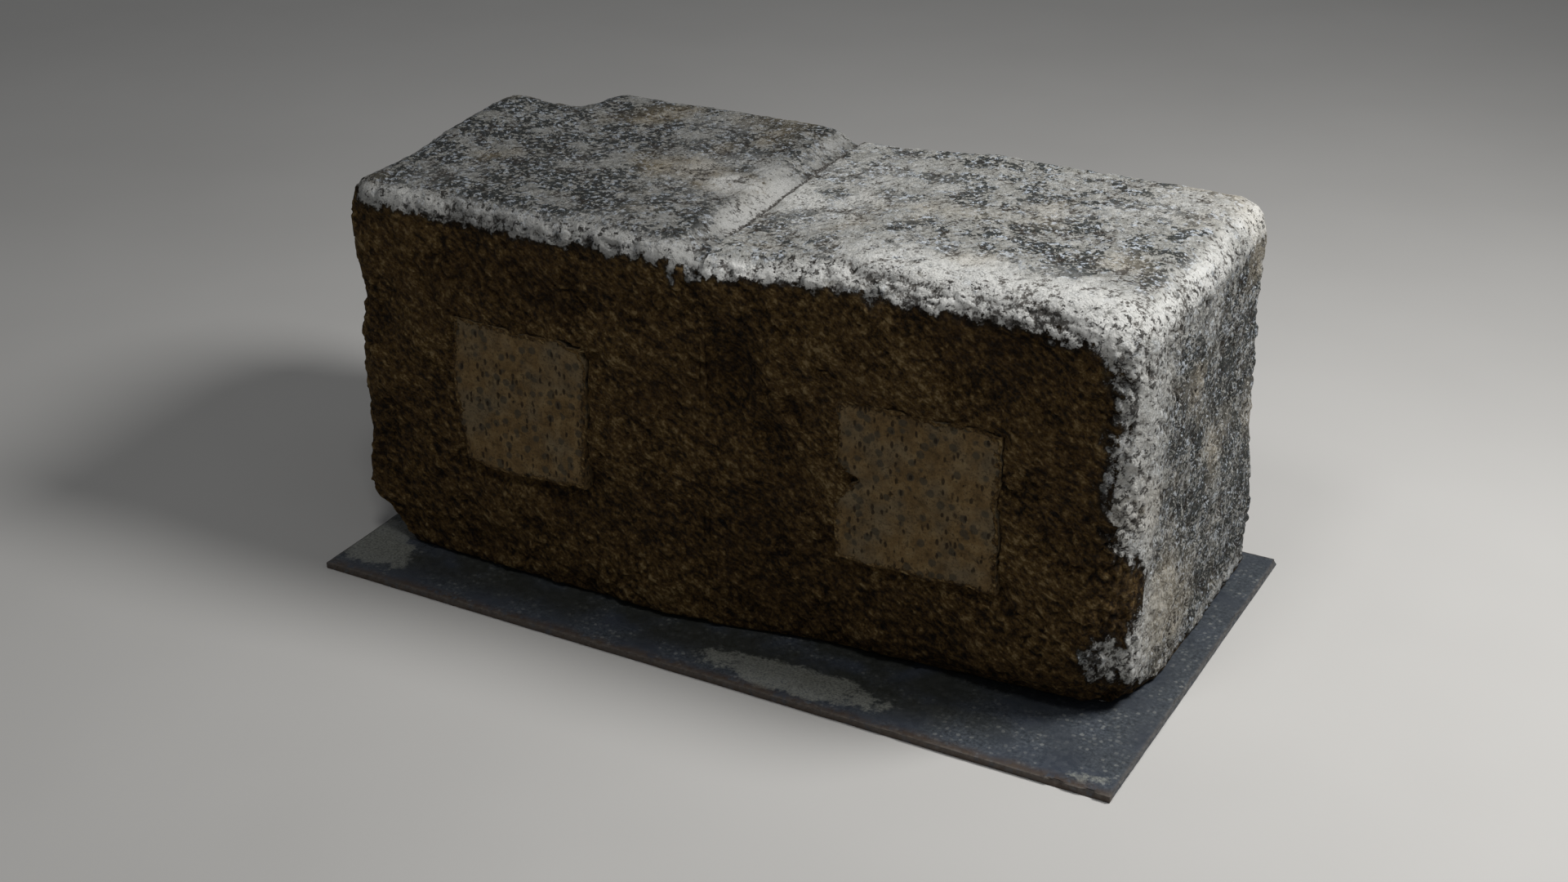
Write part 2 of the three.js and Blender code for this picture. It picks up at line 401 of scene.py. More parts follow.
def break_corner(points):
    """Takes the lower front corner off the left block, keeping each point at its height."""
    across = np.array(BREAK_FACING) / np.linalg.norm(BREAK_FACING)
    beyond = np.maximum((points - np.array(BREAK_AT)) @ across, 0)
    level = across[:2] / (across[:2] @ across[:2])
    points[:, :2] -= beyond[:, None] * level
    return points


HOLLOW = SimpleNamespace(  # the dark hollow in the front, just beside the joint
    x=4 * MM, z=BED_Z + 372 * MM, width=36 * MM, height=66 * MM, depth=32 * MM
)
VALLEY_SHARE = 0.5  # of the hollow's depth that the valley below it has


def front_hollow(points):
    """Depth of the dark hollow, and of the valley that runs down to the right from it."""
    x, _, z = points.T
    dx, dz = x - HOLLOW.x, z - HOLLOW.z
    pocket = bell(dx / HOLLOW.width, dz / HOLLOW.height)
    along, across = (dx - dz) / math.sqrt(2), (dx + dz) / math.sqrt(2)
    valley = bell((along - 90 * MM) / (90 * MM), (across + 12 * MM) / (24 * MM))
    return HOLLOW.depth * np.maximum(pocket, VALLEY_SHARE * valley)


STREAK_ANGLE = math.radians(35)  # the front's streaks run down to the right
STREAK_STRETCH = 1.7


def stretched(points, shape):
    """Points turned and scaled so that noise at them runs in streaks: down to the right on the
    front, and slightly upright on the ends."""
    if shape == "front":
        x, y, z = points.T
        cosine, sine = math.cos(STREAK_ANGLE), math.sin(STREAK_ANGLE)
        along, across = x * cosine - z * sine, x * sine + z * cosine
        return np.stack([along / STREAK_STRETCH, y, across], axis=1)
    return points * [1, 1, 0.85]


def hewn_height(points, shape, seed):
    """The rock face's waves, lumps and grains, each about -0.5 to 0.5, and its gaps, 0 to 1."""
    at = stretched(points, shape) + 3 * MM * fractal(points, 30 * MM, seed + 90)[:, None]
    lump, lump_edge, lump_number = cells(at, 17 * MM, seed + 1)
    grain, grain_edge, grain_number = cells(at, 8.5 * MM, seed + 2)
    wave = fractal(at, 60 * MM, seed + 4, 4) + 0.8 * smooth_noise(at, 120 * MM, seed + 3)
    gaps = ramp(0.2, 0.02, lump_edge) * ramp(-0.1, 0.5, smooth_noise(at, 35 * MM, seed + 5))
    lumps = 0.6 * lump + 0.9 * ramp(0, 0.4, lump_edge) * (lump_number - 0.4)
    grains = 0.7 * grain + 0.5 * ramp(0, 0.4, grain_edge) * (grain_number - 0.3)
    return wave, lumps - 0.45, grains - 0.45, gaps


# Heights in millimetres of the rough surface's parts: on the ends, on the front and on the top.
WAVES = (3.0, 10.0, 2.2)
LUMPS = (4.2, 5.4, 1.9)
GRAINS = (3.6, 3.8, 1.6)
GAPS = (3.0, 3.0, 0.8)
CRUMBS = 3.0  # height in millimetres of the worn rim's own finer noise
HIGHEST = 6.0 * MM  # of all of them together


def rough_height(points, normals):
    """A stone's displacement in metres, the relief that its colours follow, which paints its hollows
    darker as shade and its ridges lighter as highlight, and how far each point belongs to the worn rim."""
    up = np.clip(normals[:, 2], 0, 1)
    forward = ramp(0.25, 0.75, -normals[:, 1])
    level = ramp(0.6, 0.95, up)
    rim = ramp(0.05, 0.3, up) * ramp(0.97, 0.75, up)
    on_end = hewn_height(points, "end", SEED)
    on_front = hewn_height(points, "front", SEED + 20)
    wave, lumps, grains, gaps = (lerp(a, b, forward) for a, b in zip(on_end, on_front, strict=True))
    wave_height, lump_height, grain_height, gap_depth = (
        lerp(lerp(end, front, forward), top, level) for end, front, top in (WAVES, LUMPS, GRAINS, GAPS)
    )
    lump_height *= 1 - 0.6 * rim
    grain_height *= 1 - 0.5 * rim
    gap_depth *= 1 - 0.4 * rim
    crumbs = rim * fractal(points * [1, 1, 0.55], 16 * MM, SEED + 50)
    height = wave_height * wave + lump_height * lumps + grain_height * grains
    height += CRUMBS * crumbs - gap_depth * gaps
    # relief darkens hollows and lightens ridges in the colours: painted shade and highlight
    relief = 0.52 + 0.3 * lumps + 0.7 * grains - 0.35 * gaps + 0.2 * crumbs
    relief += lerp(0.14, 0.42, forward) * wave
    return np.minimum(height * MM, HIGHEST), relief, rim


SPANS = SimpleNamespace(  # places along x between which a stone's look changes
    off_right_end=(500 * MM, 400 * MM),
    right_end_lit=(300 * MM, 500 * MM),
    right_corner=(450 * MM, 530 * MM),
    right_face=(500 * MM, 550 * MM),
    right_rim=(500 * MM, 540 * MM),
    right_pits=(460 * MM, 540 * MM),
    left_end=(-550 * MM, -595 * MM),
)


def crust_and_shade_share(stone, points, blend, patches):
    """How much brown crust covers each point, partly real crust and partly painted shade on faces
    turned from the light: none where the stone faces up, or faces right at the right end, where the
    light comes from. blend is the direction it faces."""
    x, y, z = points.T
    height = z - BED_Z
    drips = smooth_noise(points * [1, 1, 0.35], 13 * MM, SEED + 74)
    drips += 0.6 * smooth_noise(points * [1, 1, 0.5], 7 * MM, SEED + 75)
    facing_light = blend[:, 2] + 0.6 * ramp(*SPANS.right_end_lit, x) * np.clip(blend[:, 0], 0, 1)
    bare_and_lit = facing_light + (0.1 * patches + 0.16 * drips) * ramp(-0.02, 0.14, facing_light)
    corner = bell((y - stone.front) / (80 * MM)) * ramp(*SPANS.right_corner, x)
    brown_patch = bell((height - 185 * MM) / (55 * MM))
    pale_foot = bell((height - 50 * MM) / (50 * MM)) * (1 + drips)
    bare_and_lit += corner * (0.28 * pale_foot - 0.6 * brown_patch)
    foot = ramp(25 * MM, 5 * MM, height)
    below_rim = ramp(stone.top - 55 * MM, stone.top - 90 * MM, z)
    bare_and_lit -= (foot + 0.16 * below_rim) * ramp(*SPANS.off_right_end, x)
    bare_and_lit -= 0.3 * ramp(*SPANS.left_end, x)
    hanging = bell((x - JOINT_X + 35 * MM) / (28 * MM), (z - LEFT.top + 46 * MM) / (26 * MM))
    bare_and_lit += 0.35 * (0.6 + drips) * hanging
    return ramp(0.5, -0.02, bare_and_lit)


def pale_share(stone, points, coarse, patches, rim):
    """How white each point is: on the worn rim, at the right end's front and in a band behind the right
    block's rim, partly lime and wear and partly painted highlight where the light catches the rim and
    the near right corner, and where mortar is smeared beside the joint."""
    x, y, _ = points.T
    up = np.clip(coarse[:, 2], 0, 1)
    wide = fractal(points, 160 * MM, SEED + 71, 2)
    rim_wear_and_highlight = stone.rim_white * rim * ramp(-0.9, 0, patches)
    rim_wear_and_highlight *= lerp(1, 0.6, ramp(*SPANS.right_rim, x))
    end = 0.7 * ramp(*SPANS.right_face, x) * ramp(-60 * MM, -170 * MM, y) * (1 - up)
    pale = np.maximum(rim_wear_and_highlight, end) + 0.25 * ramp(0.1, 0.6, wide)
    band = ramp(-50 * MM, -150 * MM, y + 35 * MM * patches) * ramp(60 * MM, 240 * MM, x)
    from_joint = stone.side * (x - stone.joint_face)
    smear = bell((from_joint - 60 * MM) / (95 * MM), (y - 20 * MM) / (75 * MM))
    smear *= ramp(0.6, 0.9, coarse[:, 2]) * ramp(-0.35, 0.25, patches)
    return np.maximum.reduce([pale, 0.8 * band * ramp(0.3, 0.7, up), stone.smear_white * smear])


def bevel_share(points, coarse, patches):
    """Where the left block's pale bevel beside the joint shows."""
    x, y, _ = points.T
    bevel = ramp(LEFT.joint_face - 52 * MM, LEFT.joint_face - 14 * MM, x)
    bevel *= ramp(0.3, 0.8, coarse[:, 2]) * ramp(170 * MM, 20 * MM, y + 60 * MM * patches)
    return bevel * ramp(-150 * MM, -70 * MM, y + 40 * MM * patches)


def stone_shades(stone, points, coarse, fine, relief, rim):
    """Where the stone is brown, pale, dark, warm, high, pitted or hewn, as numbers per point; the brown
    is also painted shade where the stone faces away from the light. coarse and fine are the
    directions it faces without and with its roughness."""
    x, y, z = points.T
    up = np.clip(coarse[:, 2], 0, 1)
    patches = fractal(points, 70 * MM, SEED + 70)
    pale = pale_share(stone, points, coarse, patches, rim)
    beige = bell((y + 62 * MM) / (52 * MM), (z - BED_Z - 118 * MM) / (58 * MM))
    beige *= ramp(*SPANS.right_face, x)
    warm = np.maximum(ramp(0.0, 0.55, fractal(points, 120 * MM, SEED + 73)), 2.2 * beige)
    dark = ramp(-0.1, 0.5, fractal(points, 95 * MM, SEED + 72))
    dark = np.maximum(dark, 0.45 * (1 - up)) * (1 - np.clip(2 * beige, 0, 1))
    if stone is LEFT:
        bevel = bevel_share(points, coarse, patches)
        pale = np.maximum(pale, bevel)
        dark = np.maximum(dark, 0.45) * (1 - bevel)
    beside = ramp(5 * MM, 1 * MM, np.abs(x - stone.joint_face)) * ramp(0.3, 0.6, coarse[:, 2])
    front_pits = ramp(0.1, 0.45, -coarse[:, 1]) * lerp(0.8, 1, ramp(*SPANS.right_pits, x))
    end_pits = 0.85 * ramp(0.4, 0.9, np.abs(coarse[:, 0]))
    return {
        "brown": crust_and_shade_share(stone, points, 0.85 * coarse + 0.15 * fine, patches),
        "pale": pale,
        "dark": dark,
        "warm": warm,
        # painted shadow: the relief is lowered in a thin line along the open joint, darkening it like
        # the shadow in its groove
        "relief": relief - 0.6 * beside * ramp(*LINE_Y, y),
        "pits": np.maximum.reduce([front_pits, end_pits, 0.6 * rim]) * (1 - 0.5 * beige),
        "hewn": 1 - ramp(0.3, 0.8, up),
    }


SOCKET_DEPTH = 24 * MM  # of the visible stone's socket, which the plug hides
FRONT_REACH = 40 * MM  # how far behind the plug's face a point still belongs to the front


def open_socket(points, plug):
    """Sinks the front behind the plug, with a groove along its outline, a ledge under it and a pit
    beside it."""
    inside = plug_distance(plug, points)
    front = points[:, 1] < plug.face + FRONT_REACH
    groove = bell((inside - 1 * MM) / (4 * MM)) * (0.6 + smooth_noise(points, 45 * MM, plug.seed + 5))
    x, z = points[:, 0] - plug.x, points[:, 2] - plug.z
    ledge = ramp(-0.6, -0.9, z / plug.half_height) * bell((inside + 7 * MM) / (11 * MM))
    across, depth, upward = plug.pit
    pit = bell((x - across) / (11 * MM), (z - upward) / (13 * MM))
    points[:, 1] += (3 * MM * groove + 7 * MM * ledge + depth * pit) * front
    sunk = (inside > 2 * MM) & front
    points[sunk, 1] = np.maximum(points[sunk, 1], plug.face + SOCKET_DEPTH)
    return points


def edge_line(points, chosen, along, height):
    """The chosen points as a line: places along one axis, sorted, and heights along another."""
    line = points[chosen]
    order = np.argsort(line[:, along])
    return line[order, along], line[order, height]


def stone_grid(stone):
    """The stone's sharp box, with a single face on the slab and one against the joint."""
    xs = stone.joint_face + stone.side * graded(abs(stone.end - stone.joint_face), STONE_CELL, 0.2 * MM)
    near = np.arange(stone.front, stone.front + REACH_Y, STONE_CELL)
    deep = np.linspace(near[-1], BACK_Y, round((BACK_Y - near[-1]) / DEEP_CELL) + 1)
    ys = np.concatenate([near, deep[1:]])
    zs = BED_Z + graded(stone.top - BED_Z, STONE_CELL, 0.15 * MM)
    return box_shell(np.sort(xs), ys, zs, {stone.joint_side: BORDER, "z-": 0})


def kept_inside(stone, points, on_joint):
    """Holds points to their own side of the joint, above the slab and inside the CAD model's box."""
    limit = stone.joint_face + stone.side * 0.1 * MM
    keep = np.minimum if stone.side < 0 else np.maximum
    points[~on_joint, 0] = keep(points[~on_joint, 0], limit)
    points[:, 0] = np.clip(points[:, 0], cad_bounds[0].x, cad_bounds[1].x)
    points[:, 2] = np.clip(points[:, 2], BED_Z, cad_bounds[1].z)
    return points


def build_stone(node, stone, plug, material):
    """A worn, hewn block. It also keeps its edge lines at the joint, for the mortar to follow."""
    shell = stone_grid(stone)
    on_joint = shell.on[stone.joint_side]
    worn, direction, share = worn_shape(stone, shell.points)
    if stone is LEFT:
        worn = break_corner(worn)
    coarse = vertex_normals(worn, shell.quads)
    height, relief, rim = rough_height(worn, coarse)
    beside_joint = ramp(60 * MM, 15 * MM, np.abs(worn[:, 0] - stone.joint_face))
    height *= 1 - 0.6 * beside_joint * ramp(0.3, 0.8, coarse[:, 2])
    strength = np.where(on_joint, np.clip(share, 0, 1), 1)
    strength *= ramp(-0.2 * MM, 12 * MM, worn[:, 2] - BED_Z)
    heading = coarse.copy()
    heading[on_joint] = unit(direction[on_joint] * [0, 1, 1])
    heading[shell.on["z-"], 2] = 0
    points = worn + heading * (height * strength)[:, None]
    sunk = front_hollow(points) * ramp(0.3, 0.8, -coarse[:, 1]) * strength
    points[:, 1] += sunk
    # painted shade: the hollow's relief is lowered by its depth, so its colour darkens
    relief -= 1.1 * sunk / HOLLOW.depth
    points = kept_inside(stone, points, on_joint)
    fine = vertex_normals(points, shell.quads)
    shades = stone_shades(stone, points, coarse, fine, relief, rim)
    stone.joint_front = edge_line(points, on_joint & shell.on["y-"], 2, 1)
    stone.joint_top = edge_line(points, on_joint & shell.on["z+"], 1, 2)
    points = open_socket(points, plug)
    nearness = np.clip(1 - (points[:, 0] - JOINT_X) / (stone.end - JOINT_X), 0, 1)
    points[:, 0] += JOINT_SKEW * points[:, 1] * nearness
    make_piece(node + "_stone", shell, points, node, material, shades)


# ---- mortar plugs

PLUG_SETBACK = 2 * MM  # of the plug's face behind its CAD solid's, at mid height; none at the foot


def plug_of(node, seed, pit, chips):
    """A plug's place and size from its CAD box. pit is one in the stone beside it: across, depth
    and upward from the plug's centre. chips are (place, width, depth) bites out of each side: place
    runs from -1 to 1, width is a share of half the side, and a negative depth, in mm, is a lump."""
    low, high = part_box(node)
    return SimpleNamespace(
        node=node,
        x=(low.x + high.x) / 2,
        z=(low.z + high.z) / 2,
        face=low.y,
        back=high.y,
        half_width=(high.x - low.x) / 2,
        half_height=(high.z - low.z) / 2,
        seed=seed,
        pit=pit,
        chips=chips,
    )


LEFT_PLUG = plug_of(
    "left_socket_plug",
    200,
    (118 * MM, 7 * MM, 92 * MM),
    {
        "left": [(-1, 0.7, 17), (1, 0.6, 9)],
        "right": [(-1, 1.1, 9), (0.95, 0.12, 9)],
        "bottom": [(-1, 0.25, 9), (1, 0.7, 7)],
        "top": [(0.9, 0.16, 8), (0.1, 0.35, 5)],
    },
)
RIGHT_PLUG = plug_of(
    "right_socket_plug",
    300,
    (-96 * MM, 16 * MM, 2 * MM),
    {
        "left": [(0.08, 0.08, 30), (-0.08, 0.14, 14)],
        "right": [(0.15, 0.2, 4)],
        "bottom": [(-1, 0.5, -5), (0.9, 0.6, 5)],
        "top": [(-1, 0.5, 6), (0.1, 0.25, 4), (0.95, 0.1, 5)],
    },
)
SIDE_SEEDS = {"top": 3, "left": 4, "right": 5, "bottom": 6}


def side_offset(plug, side, place):
    """How far inside its straight line a side of the outline runs, at places from -1 to 1."""
    bites = sum(depth * bell((place - at) / width) for at, width, depth in plug.chips[side])
    seed = SIDE_SEEDS[side]
    line = np.stack([place * 110 * MM, np.full_like(place, seed * 10 * MM), 0 * place], axis=1)
    ragged = 4.6 * fractal(line, 26 * MM, plug.seed + seed, 5)
    return np.maximum(bites + ragged + 1, 0.3) * MM


def sides(plug, u, v):
    """Places of the left, right, bottom and top sides, at u across and v upward from -1 to 1."""
    return (
        side_offset(plug, "left", v) - plug.half_width,
        plug.half_width - side_offset(plug, "right", v),
        side_offset(plug, "bottom", u) - plug.half_height,
        plug.half_height - side_offset(plug, "top", u),
    )


def plug_distance(plug, points):
    """How far inside the plug's outline each point is, seen from the front; negative outside."""
    across, upward = points[:, 0] - plug.x, points[:, 2] - plug.z
    u = np.clip(across / plug.half_width, -1, 1)
    v = np.clip(upward / plug.half_height, -1, 1)
    left, right, bottom, top = sides(plug, u, v)
    return np.minimum.reduce([across - left, right - across, upward - bottom, top - upward])


def plug_relief(plug, across, upward):
    """Height of the plug's face in metres. The right plug also has a slanting ridge and a crack."""
    flat = np.stack([across, upward, np.full_like(across, plug.seed * 10 * MM)], axis=1)
    wave = 1.4 * fractal(flat, 80 * MM, plug.seed + 1, 3)
    trowel = 0.35 * smooth_noise(flat * [0.25, 1, 1], 9 * MM, plug.seed + 2)
    spot, _, number = cells(flat, 11 * MM, plug.seed + 3)
    holes = ramp(0.55, 0.85, spot) * ramp(0.86, 0.93, number)
    grit = 0.25 * smooth_noise(flat, 5 * MM, plug.seed + 4)
    relief = wave + trowel + grit - 2.4 * holes
    if plug is RIGHT_PLUG:
        ridge = across + upward * 1.25 - 12 * MM
        relief += 5 * bell(ridge / (8 * MM)) * ramp(-50 * MM, 10 * MM, across)
        off_crack = across - 32 * MM + 0.3 * upward
        relief -= 3.5 * bell(off_crack / (2.2 * MM), (upward + 58 * MM) / (17 * MM))
    return relief * MM


FACE_ROWS = (0, 0.4, 1.2, 2.6, 5, 9)  # depths in millimetres of the cells at a plug's face


def build_plug(plug, material):
    """A mortar block with an uneven outline, a trowelled face and a worn rim."""
    steps = np.linspace(-1, 1, round(2 * plug.half_width / PLUG_CELL) + 1)
    ys = np.concatenate([FACE_ROWS, np.linspace(15, (plug.back - plug.face) / MM, 6)]) * MM
    shell = box_shell(steps, ys, steps, {"y+": 0})
    u, behind, v = shell.points.T
    left, right, bottom, top = sides(plug, u, v)
    across = lerp(left, right, (u + 1) / 2)
    upward = lerp(bottom, top, (v + 1) / 2)
    rim = 2.6 * MM * (1 + 0.5 * np.sin(9 * u + 7 * v + plug.seed))
    shrink = np.sqrt(1 - np.clip((rim - behind) / rim, 0, 1) ** 2)
    outward = np.maximum(np.abs(u), np.abs(v))
    scale = 1 - (1 - shrink) * rim / plug.half_width * outward**14
    face = np.clip(1 - behind / (4 * MM), 0, 1)
    setback = PLUG_SETBACK * (1 + v)
    along = behind + face * (setback - plug_relief(plug, across, upward))
    across, upward = across * scale, upward * scale
    points = np.stack([plug.x + across, plug.face + along, plug.z + upward], axis=1)
    shades = {"edge": outward**12 * face, "relief": np.full_like(u, 0.6)}
    make_piece(plug.node + "_mortar", shell, points, plug.node, material, shades)


# ---- joint mortar

TURN = 0.29 * TOP_RADIUS  # how far a rounded edge's middle stays inside its two faces
JOINT_CELL = 4 * MM


def mean_line(first, second):
    """A function of place: the mean height of two edge lines."""
    return lambda place: (np.interp(place, *first) + np.interp(place, *second)) / 2


def build_joint(material):
    """An upright sheet of mortar between the stones: flush with the hewn front, where the stones'
    crust runs over it, and sunk along the top and the back."""
    front = mean_line(LEFT.joint_front, RIGHT.joint_front)
    top = mean_line(LEFT.joint_top, RIGHT.joint_top)
    corner_y = LEFT.front + LEFT.bend[0] + TURN
    corner_z = mortar_high.z + 12 * MM - TURN
    xs = JOINT_X + np.linspace(-0.49, 0.49, 5) * JOINT_WIDTH
    ys = np.arange(corner_y, mortar_high.y, JOINT_CELL)
    zs = np.arange(mortar_low.z, corner_z, JOINT_CELL)
    shell = box_shell(xs, ys, zs, {"x-": 10, "x+": 10, "z-": 0})
    x, y, z = shell.points.T
    near_top = ramp(corner_z - 60 * MM, corner_z, z)
    sunk = lerp(0.1 * MM, 9 * MM, ramp(LINE_Y[0], LINE_Y[0] + 100 * MM, y))
    sunk -= 1.5 * MM * fractal(shell.points, 20 * MM, 401) * ramp(*LINE_Y, y)
    sunk_back = 16 * MM * near_top * ramp(mortar_high.y - 40 * MM, mortar_high.y, y)
    new_z = z + near_top * (top(y) - sunk - corner_z) - sunk_back
    new_y = y + ramp(corner_y + 60 * MM, corner_y, y) * (front(z) + 0.1 * MM - corner_y)
    points = np.stack([x, new_y, np.maximum(new_z, BED_Z)], axis=1)
    coarse = vertex_normals(points, shell.quads)
    _, relief, rim = rough_height(points, coarse)
    shades = stone_shades(RIGHT, points, coarse, coarse, relief, rim)
    shades["damp_and_shadow"] = ramp(20 * MM, 160 * MM, y)
    shades["mortar"] = ramp(*LINE_Y, y)
    # the stones' brown, partly crust and partly painted shade, runs down the joint's front below the
    # top
    shades["brown"] = np.maximum(shades["brown"], ramp(corner_z - 25 * MM, corner_z - 45 * MM, z))
    points[:, 0] += JOINT_SKEW * points[:, 1]
    make_piece("joint_pointing", shell, points, "joint_mortar", material, shades)


# ---- base slab

SLAB_ROWS = (0, 0.12, 0.3, 0.5, 0.68, 0.8, 0.9, 1)  # shares of the slab's thickness
EDGE_REACH = 6 * MM  # how far in from its edges the slab is worn
LIME_STAINS = (  # on the slab: middle x and y, reach along x and y, and strength
    (-560 * MM, -220 * MM, 90 * MM, 120 * MM, 1),
    (140 * MM, -280 * MM, 160 * MM, 50 * MM, 1),
    (570 * MM, -300 * MM, 50 * MM, 30 * MM, 0.8),
)


def both_ways(half, cell):
    """Distances from -half to half: even steps of a cell that grow finer at both ends."""
    from_edge = graded(half, cell, 0.5 * MM)
    return np.concatenate([from_edge - half, (half - from_edge)[-2::-1]])


def build_slab(material):
    """A thin stone slab with sawn faces, a worn arris and small chips along its edges."""
    half_x, half_y, thick = slab_high
    xs, ys = both_ways(half_x, SLAB_CELL), both_ways(half_y, SLAB_CELL)
    shell = box_shell(xs, ys, thick * np.array(SLAB_ROWS), {"z-": 0})
    x, y, z = shell.points.T
    near_x = ramp(EDGE_REACH, 0, half_x - np.abs(x))
    near_y = ramp(EDGE_REACH, 0, half_y - np.abs(y))
    outline = np.stack([x, y, 0 * z], axis=1)
    wobble = 0.8 + 0.8 * fractal(outline, 90 * MM, 501)
    nick, _, number = cells(outline, 24 * MM, 502)
    nicks = 4 * ramp(0.3, 0.9, nick) * ramp(0.7, 0.95, number)
    top_arris = 1.2 * quarter_inset(1, (thick - z) / (1.6 * MM))
    foot_arris = 0.8 * quarter_inset(1, z / (1 * MM))
    high = ramp(0.1, 0.9, z / thick)
    rough = 0.35 * smooth_noise(shell.points, 5 * MM, 503)
    inset = (wobble + nicks * high + top_arris + foot_arris + rough) * MM
    points = shell.points.copy()
    points[:, 0] -= np.sign(x) * inset * near_x
    points[:, 1] -= np.sign(y) * inset * near_y
    side = np.maximum(near_x, near_y)
    wear = 0.25 * fractal(outline, 40 * MM, 504) - 0.3 - side * (0.5 + nicks * 0.35)
    points[:, 2] += np.where(shell.on["z+"], wear * MM, 0)
    shades = slab_shades(points, side * high)
    make_piece("slab_stone", shell, points, "base_slab", material, shades)


def slab_shades(points, side):
    """Lime stains, damp with painted shadow in front of the block, and rusty wear of the slab, as
    numbers per point.
    """
    x, y, _ = points.T
    patches = fractal(points, 60 * MM, 510, 4)
    fingers = fractal(points * [1, 0.5, 1], 30 * MM, 511)
    along_edge = 0.35 * ramp(slab_low.y + 60 * MM, slab_low.y + 8 * MM, y)
    stains = [
        strength * bell((x - middle_x) / reach_x, (y - middle_y) / reach_y)
        for middle_x, middle_y, reach_x, reach_y, strength in LIME_STAINS
    ]
    # painted shadow: the olive darkening lies where the block's shadow falls on the slab, and fades
    # where the light from the right end reaches
    damp_and_shadow = ramp(RIGHT.front - 130 * MM, RIGHT.front - 50 * MM, y) * ramp(-0.6, 0.1, patches)
    return {
        "lime": np.maximum.reduce([along_edge, *stains]) + 0.35 * patches - 0.25,
        "damp_and_shadow": damp_and_shadow * (1 - 0.7 * ramp(*SPANS.right_end_lit, x)),
        "rust": ramp(slab_low.y + 22 * MM, slab_low.y, y + 8 * MM * fingers),
        "side": side,
    }


# ---- materials


def color(red, green, blue):
    """A colour given as display values from 0 to 255, as linear RGBA."""
    linear = [
        v / 12.92 if v <= 0.04045 else ((v + 0.055) / 1.055) ** 2.4
        for v in (red / 255, green / 255, blue / 255)
    ]
    return (*linear, 1)


class Shader:
    """Builds one node material. Every method adds nodes and returns an output socket."""

    def __init__(self, name):
        self.material = bpy.data.materials.new(name)
        self.material.use_nodes = True
        self.nodes = self.material.node_tree.nodes
        self.links = self.material.node_tree.links
        self.surface = self.nodes["Principled BSDF"]
        self.place = self.add("TexCoord").outputs["Object"]

    def add(self, kind, inputs=None, **settings):
        node = self.nodes.new("ShaderNode" + kind)
        for key, value in settings.items():
            setattr(node, key, value)
        for key, value in (inputs or {}).items():
            if isinstance(value, bpy.types.NodeSocket):
                self.links.new(value, node.inputs[key])
            else:
                node.inputs[key].default_value = value
        return node

    def shade(self, name):
        return self.add("Attribute", attribute_name=name).outputs["Fac"]

    def math(self, operation, a, b=0.0, c=0.0):
        return self.add("Math", {0: a, 1: b, 2: c}, operation=operation).outputs[0]

    def plus(self, a, b):
        return self.math("ADD", a, b)

    def minus(self, a, b):
        return self.math("SUBTRACT", a, b)

    def times(self, a, b):
        return self.math("MULTIPLY", a, b)

    def scaled(self, value, factor, offset):
        """value * factor + offset."""
        return self.math("MULTIPLY_ADD", value, factor, offset)

    def streaked(self):
        """The place, stretched along the front's streaks."""
        inputs = {
            "Vector": self.place,
            "Rotation": (0, STREAK_ANGLE, 0),
            "Scale": (STREAK_STRETCH, 1, 1),
        }
        return self.add("Mapping", inputs, vector_type="TEXTURE").outputs[0]

    def noise(self, size, detail=3, roughness=0.55, place=None):
        inputs = {"Vector": place or self.place, "Scale": 1 / size, "Detail": detail}
        return self.add("TexNoise", {**inputs, "Roughness": roughness}).outputs["Fac"]

    def warped(self, size, amount):
        """The place, pushed about by noise, so that crystals have uneven outlines."""
        inputs = {"Vector": self.place, "Scale": 1 / size, "Detail": 2}
        noise = self.add("TexNoise", inputs).outputs["Color"]
        push = self.add("VectorMath", {0: noise, 3: amount}, operation="SCALE").outputs[0]
        return self.add("VectorMath", {0: self.place, 1: push}, operation="ADD").outputs[0]

    def grains(self, size, place):
        """Scattered grains: the distance from each one's middle, and a colour of its own."""
        node = self.add("TexVoronoi", {"Vector": place, "Scale": 1 / size})
        return node.outputs["Distance"], node.outputs["Color"]

    def number(self, color_socket):
        """The first channel of a colour."""
        return self.add("SeparateColor", {0: color_socket}).outputs[0]

    def between(self, value, low, high):
        """0 below low, 1 above high, smooth between."""
        inputs = {"Value": value, "From Min": low, "From Max": high}
        return self.add("MapRange", inputs, interpolation_type="SMOOTHSTEP").outputs[0]

    def ramp(self, value, *stops):
        """Colours along a value from 0 to 1. Each stop is a place, red, green and blue."""
        node = self.add("ValToRGB", {0: value})
        elements = node.color_ramp.elements
        while len(elements) < len(stops):
            elements.new(1.0)
        for element, (place, *rgb) in zip(elements, stops, strict=True):
            element.position = place
            element.color = color(*rgb)
        return node.outputs[0]

    def mix(self, a, b, share, blend="MIX"):
        inputs = {0: share, 6: a, 7: b}
        return self.add("Mix", inputs, data_type="RGBA", blend_type=blend).outputs[2]

    def over(self, base, rgb, share, most):
        """Lays a colour over base, by share, 0 to 1, of the most it may cover."""
        return self.mix(base, color(*rgb), self.times(share, most))

    def finish(self, base, roughness, bumps, specular=0.35):
        """Joins colour, roughness and bumps, a list of (height socket, metres), to the surface."""
        normal = None
        for height, metres in bumps:
            node = self.add("Bump", {"Height": height, "Distance": metres, "Strength": 1.0})
            if normal is not None:
                self.links.new(normal, node.inputs["Normal"])
            normal = node.outputs[0]
        self.links.new(normal, self.surface.inputs["Normal"])
        self.links.new(base, self.surface.inputs["Base Color"])
        self.links.new(roughness, self.surface.inputs["Roughness"])
        self.surface.inputs["Specular IOR Level"].default_value = specular
        return self.material


